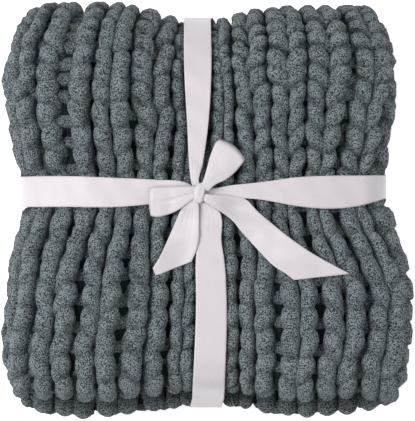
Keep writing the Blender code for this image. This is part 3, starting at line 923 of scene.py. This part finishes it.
def stripMesh(name, grid, closed, flatLength):
    # A ribbon from rows of points, thickened, with its weave laid along it in metres.
    rows, columns = grid.shape[:2]
    bm = bmesh.new()
    layer = bm.loops.layers.uv.new("weave")
    verts = [[bm.verts.new(p) for p in row] for row in grid.tolist()]
    for i in range(rows if closed else rows - 1):
        following = (i + 1) % rows
        for j in range(columns - 1):
            here, there = verts[i][j : j + 2], verts[following][j : j + 2]
            face = bm.faces.new((*here, *there[::-1]))
            for loop, (du, dv) in zip(face.loops, ((0, 0), (1, 0), (1, 1), (0, 1))):
                onWidth = ribbon["width"] * (j + du) / (columns - 1)
                loop[layer].uv = (flatLength * (i + dv) / rows, onWidth)
    mesh = bpy.data.meshes.new(name)
    bm.to_mesh(mesh)
    bm.free()
    obj = addObject(name, mesh)
    bpy.context.view_layer.objects.active = obj
    solid = obj.modifiers.new("thickness", "SOLIDIFY")
    solid.thickness = ribbon["thickness"]
    solid.offset = 1.0
    bpy.ops.object.modifier_apply(modifier=solid.name)
    mesh.shade_smooth()
    mesh.materials.append(materials["satin"])
    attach(obj, "root")
    return obj


def makeBand(name, node, axis, edges, points, clear):
    knotAt = ribbon["knotMiddle"][axis]
    middle = (edges[0, 1] + edges[0, 2] + edges[-1, 1] + edges[-1, 2]) / 4.0
    half = ribbon["width"] / 2
    line, normal, length = tautLine(points, axis, middle - half, middle + half, clear)
    w = np.linspace(-1.0, 1.0, ribbon["across"] + 1)
    side = stack["tiedHeight"] * ribbon["sideStart"]
    # Down the sides the runs ease to their place underneath.
    down = np.clip((side - line[:, 1]) / ribbon["sideEase"], 0.0, 1.0)
    under = (line[:, 1] < ribbon["underHeight"]) & (np.abs(line[:, 0]) < ribbon["underReach"])
    runs = []
    for column, plain in ((1, middle - half), (2, middle + half)):
        run = np.where(under, plain, smoothTable(line[:, 0], edges, column))
        runs.append(run * (1 - down) + plain * down)
    low, high = runs
    distance = np.where(line[:, 1] > side, np.abs(line[:, 0] - knotAt), 1.0)[:, None]
    turn = np.where(line[:, 0] > knotAt, 1.0, -1.0)
    rise = creaseShape(w[None, :] * np.ones((len(line), 1)), distance, turn[:, None])
    ripple = 1.0 + np.sin(line[:, :1] * ribbon["rippleRate"] + 2.0 * w[None, :])
    rise = rise + ribbon["ripple"] * ripple * (distance < 0.5)
    lateral = (low + high)[:, None] / 2 + (high - low)[:, None] / 2 * w[None, :]
    along = line[:, :1] + normal[:, :1] * rise
    height = line[:, 1:] + normal[:, 1:] * rise
    if axis == 0:
        grid = np.stack((along, lateral, height), axis=-1)[:, ::-1]
    else:
        grid = np.stack((lateral, along, height), axis=-1)
    obj = stripMesh(name, grid[:, ::-1], True, length)
    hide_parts(node)
    return obj, grid.reshape(-1, 3)


allKnit = np.concatenate(knitPoints)
crossBand, crossPoints = makeBand(
    "ribbonCross", "ribbon_crosswise", 0, crossEdges, allKnit, ribbon["lift"]
)
knitAndCross = np.concatenate((allKnit, crossPoints))
lengthBand, lengthPoints = makeBand(
    "ribbonLength", "ribbon_lengthwise", 1, lengthEdges, knitAndCross, ribbon["lift"] * 2
)
print("ribbon drawn tight")


def treeOf(objs):
    # One search tree over the tops of several pieces.
    points, faces = [], []
    for obj in objs:
        faces += [[v + len(points) for v in p.vertices] for p in obj.data.polygons]
        points += [v.co for v in obj.data.vertices]
    return BVHTree.FromPolygons(points, faces)


def groundUnder(tree, grid, reach, smooth):
    # How high a soft strip lies: on the highest thing near each place, eased between.
    turns = [math.pi / 4 * k for k in range(8)]
    ring = [(r * math.cos(a), r * math.sin(a)) for r in (reach, reach / 2) for a in turns]
    ring.append((0.0, 0.0))
    down = Vector((0, 0, -1))
    height = np.zeros(grid.shape[:2])
    for i in range(grid.shape[0]):
        for j in range(grid.shape[1]):
            for dx, dy in ring:
                hit = tree.ray_cast(Vector((grid[i, j, 0] + dx, grid[i, j, 1] + dy, 1.0)), down)[0]
                if hit:
                    height[i, j] = max(height[i, j], hit.z)
    for _ in range(smooth):
        padded = np.pad(height, 1, mode="edge")
        height = (padded[:-2, 1:-1] + padded[2:, 1:-1] + padded[1:-1, :-2] + padded[1:-1, 2:]) / 4.0
    return height


def edgeGrid(rows, count):
    # Rows across, eased between the given ones.
    rows = np.array(rows) / 1000.0
    along = distances((rows[:, :2] + rows[:, 2:]) / 2)
    table = np.column_stack((along, rows))
    places = np.linspace(0.0, along[-1], count)
    eased = np.stack([smoothTable(places, table, i) for i in range(1, 5)], axis=1)
    w = np.linspace(0.0, 1.0, ribbon["across"] + 1)[None, :, None]
    return eased[:, None, :2] * (1 - w) + eased[:, None, 2:] * w, along[-1]


def layStrip(strip, count, tree, near, smooth):
    # A strip's plan, its length, how high it lies, its creases, and the places along and across it.
    flat, length = edgeGrid(strip["edges"], count)
    t = np.linspace(0.0, 1.0, flat.shape[0])[:, None]
    w = np.linspace(-1.0, 1.0, flat.shape[1])[None, :]
    # The cut's corner lies at a share of the width, and a fold bulges out past its edges.
    place, reach = strip["corner"]
    share = (w + 1.0) / 2.0
    peak = np.minimum(share / place, (1.0 - share) / (1.0 - place)) * reach
    peak = peak + (1.0 - w**2) * strip["bulge"]
    ahead = flat[-1].mean(axis=0) - flat[-8].mean(axis=0)
    ahead /= np.linalg.norm(ahead)
    flat = flat + ahead * (peak * smoothStep(t, 0.6, 1.0))[:, :, None]
    ground = groundUnder(tree, flat, near, smooth) + ribbon["lift"]
    crease = creaseShape(w * np.ones_like(t), t * length, 1.0)
    return flat, length, ground, crease, t, w


bow = dict(
    inKnot=0.003,  # how high in the knot its strips start
    loopsLower=0.003,
    tailSettles=0.030,  # the length in which a tail comes down
    tailCurl=0.0012,
    loopSettles=0.55,  # of a loop's length
    loopMouth=0.0035,
    loopSwells=0.62,  # of its length: where a loop is highest
    loopCrown=0.25,
    loopCreases=0.6,
    dentWidth=0.16,
)


def makeTail(name, node, tail, tree, knotLevel):
    flat, length, ground, crease, t, w = layStrip(tail, 56, tree, 0.005, 10)
    peak, middle, width = tail["hump"]
    rise = crease + peak * np.exp(-(((t - middle + 0.10 * w) / width) ** 2)) + bow["tailCurl"] * t * w**2
    start = np.maximum(ground, knotLevel)
    settled = ease(np.clip(t * length / bow["tailSettles"], 0.0, 1.0))
    height = start * (1 - settled) + ground * settled + rise
    obj = stripMesh(name, np.dstack((flat, height)), False, length)
    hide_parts(node)


def makeBowLoop(name, node, loop, tree, knotLevel):
    # Out along the blanket, over its end fold and back into the knot.
    flat, length, ground, crease, t, w = layStrip(loop, 40, tree, 0.004, 16)
    start = np.maximum(ground, knotLevel - bow["loopsLower"])
    settled = np.clip(t / bow["loopSettles"], 0.0, 1.0)
    lower = start * (1 - settled) + ground * settled
    nose = 1.0 - loop["height"] * 0.5 / length
    risen = np.sin(0.5 * math.pi * np.clip(t / bow["loopSwells"], 0.0, 1.0))
    swell = bow["loopMouth"] + (loop["height"] - bow["loopMouth"]) * risen
    swell = swell * np.sqrt(np.clip(1.0 - (np.maximum(t - nose, 0.0) / (1.0 - nose)) ** 2, 0.0, 1.0))
    middle = lower + swell * 0.5 + 0.0004
    crown = 1.0 - bow["loopCrown"] * w**2
    dent = loop["dent"] * np.exp(-((w / bow["dentWidth"]) ** 2)) * (1.0 - t**3)
    top = middle + swell * 0.5 * crown + crease * bow["loopCreases"] - dent
    under = middle - swell * 0.5
    grid = np.concatenate((np.dstack((flat, under))[:-1], np.dstack((flat, top))[::-1]))
    obj = stripMesh(name, grid, False, 2 * length)
    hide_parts(node)


knot = dict(
    halfWidth=0.0060,
    halfLength=0.0102,
    rise=0.0054,
    slant=0.0015,
    folds=7,
    pucker=0.07,
    pinch=0.10,
    rings=22,
    sides=48,
)


def makeKnot(level):
    # A tight puckered wrap over the crossing.
    rings, sides = knot["rings"], knot["sides"]
    v = -math.pi / 2 + math.pi * np.arange(rings + 1)[:, None] / rings
    u = 2 * math.pi * np.arange(sides)[None, :] / sides
    thin = np.abs(np.cos(v))
    pucker = 1.0 + knot["pucker"] * np.cos(knot["folds"] * u + 1.5 * np.sin(2.2 * v)) * thin**0.3
    pinch = 1.0 - knot["pinch"] * np.cos(v * 2.0) * (0.5 + 0.5 * np.cos(u * 2.0))
    x = rounded(np.cos(u), 0.8) * thin**0.7 * pucker * pinch
    y = rounded(np.sin(v), 0.8) * np.ones_like(u)
    z = rounded(np.sin(u), 0.8) * thin**0.7 * pucker
    x = ribbon["knotMiddle"][0] + knot["halfWidth"] * x + knot["slant"] * y
    y = ribbon["knotMiddle"][1] + knot["halfLength"] * y
    z = level + knot["rise"] * 0.5 + knot["rise"] * 0.5 * z
    mesh = bpy.data.meshes.new("bowKnot")
    faces = gridQuads(rings + 1, sides, True)
    mesh.from_pydata(np.stack((x, y, z), axis=-1).reshape(-1, 3).tolist(), [], faces.tolist())
    uvs = np.stack((0.02 * (faces // sides) / rings, 0.03 * (faces % sides) / sides), axis=-1)
    mesh.uv_layers.new(name="weave").data.foreach_set("uv", uvs.ravel())
    obj = addObject("bowKnot", mesh)
    bm = bmesh.new()
    bm.from_mesh(mesh)
    bmesh.ops.remove_doubles(bm, verts=bm.verts, dist=1e-6)
    bmesh.ops.recalc_face_normals(bm, faces=bm.faces)
    bm.to_mesh(mesh)
    bm.free()
    mesh.shade_smooth()
    mesh.materials.append(materials["satin"])
    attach(obj, "root")
    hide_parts("bow_knot")
    return obj


# Each strip's edges are rows of left x, y and right x, y in millimetres.
leftTail = dict(
    edges=(
        (-17, 11, -8.5, 10), (-22.5, 6, -8, 3), (-27, -2, -7.8, -6), (-32, -14, -7.8, -16),
        (-37.5, -26, -7.8, -25), (-45, -43, -10, -38), (-53, -56.5, -15, -50),
    ),
    hump=(0.0015, 0.55, 0.22),  # height, place and width of a soft wave
    corner=(0.2, 0.01),  # place and reach of the cut's corner
    bulge=0.0,
)
rightTail = dict(
    edges=(
        (-2, 16, -3, 9), (13, 15, 6, 3.5), (26, 14, 16, -3), (38, 11, 25, -10), (49.5, -0.5, 33, -20),
        (64, -13, 42, -30), (80.5, -26.2, 53, -42), (100.5, -40.2, 65, -54), (121, -52, 76, -61),
        (140, -62, 85, -68),
    ),
    hump=(0.0030, 0.42, 0.10),
    corner=(0.5, 0.0),
    bulge=0.0,
)
leftLoop = dict(
    edges=(
        (-11, 23.5, -11, 12.5), (-20, 23.5, -19, 7), (-30, 23.2, -29, 0), (-40, 23, -40, -4.5),
        (-50, 22.8, -50, -6.2), (-56, 22.5, -55.5, -5),
    ),
    height=0.0070,
    corner=(0.5, 0.0),
    bulge=0.0012,
    dent=0.0012,
)
rightLoop = dict(
    edges=(
        (-7.5, 22.5, 1.5, 19), (-4, 29, 7, 24.5), (0, 42, 18, 30), (4, 56, 28, 38),
        (8.5, 66, 34.5, 46), (12, 70.5, 37.5, 50),
    ),
    height=0.0095,
    corner=(0.5, 0.0),
    bulge=0.0040,
    dent=0.0,
)
knotLevel = float(max(lengthPoints[:, 2][np.abs(lengthPoints[:, 1] - 0.017) < 0.01])) + 0.0004
layTree = treeOf([o for o in knitPieces if o.name.startswith("knitTop")] + [crossBand, lengthBand])
start = knotLevel + bow["inKnot"]
makeBowLoop("bowLoopLeft", "bow_loop_left", leftLoop, layTree, start)
makeBowLoop("bowLoopRight", "bow_loop_right", rightLoop, layTree, start)
makeTail("bowTailLeft", "bow_tail_left", leftTail, layTree, start)
makeTail("bowTailRight", "bow_tail_right", rightTail, layTree, start)
makeKnot(knotLevel)
print("bow tied")

studio = dict(
    distance=4.0,
    middleHeight=0.10,
    photoSpan=0.421,
    cameraX=0.0005,
    lights=(  # place, size, power
        ("key", (-2.0, 0.1, 2.25), 1.8, 95.0),
        ("fill", (1.6, 0.3, 1.65), 1.6, 22.0),
        ("overhead", (0.0, 0.1, 2.8), 1.6, 8.0),
    ),
    world={"Color": (1.0, 1.0, 1.0, 1.0), "Strength": 0.20},
    floor={
        "Base Color": (0.93, 0.93, 0.93, 1.0),
        "Roughness": 0.9,
        "Emission Color": (1.0, 1.0, 1.0, 1.0),
        "Emission Strength": 0.55,
    },
)


def makeFloor():
    bpy.ops.mesh.primitive_plane_add(size=6.0, location=(0.0, 0.0, -0.0002))
    floor = bpy.context.object
    floor.name = "floor"
    floor.data.materials.append(newMaterial("pale floor", studio["floor"])[0])


def addLight(name, place, size, power):
    light = bpy.data.lights.new(name, "AREA")
    light.size = size
    light.energy = power
    obj = addObject(name, light)
    obj.location = place
    middle = Vector((0.0, 0.0, studio["middleHeight"]))
    obj.rotation_euler = (middle - Vector(place)).to_track_quat("-Z", "Y").to_euler()


def makeStudio():
    makeFloor()
    for light in studio["lights"]:
        addLight(*light)
    world = bpy.data.worlds.new("studio")
    world.use_nodes = True
    setInputs(world.node_tree.nodes["Background"], studio["world"])
    bpy.context.scene.world = world
    bpy.context.scene.view_settings.view_transform = "Standard"
    camera = bpy.data.cameras.new("camera")
    camera.sensor_fit = "VERTICAL"
    camera.angle = 2.0 * math.atan(studio["photoSpan"] / 2 / studio["distance"])
    obj = addObject("camera", camera)
    obj.location = (studio["cameraX"], 0.0, studio["middleHeight"] + studio["distance"])
    bpy.context.scene.camera = obj


makeStudio()
print("studio lit")
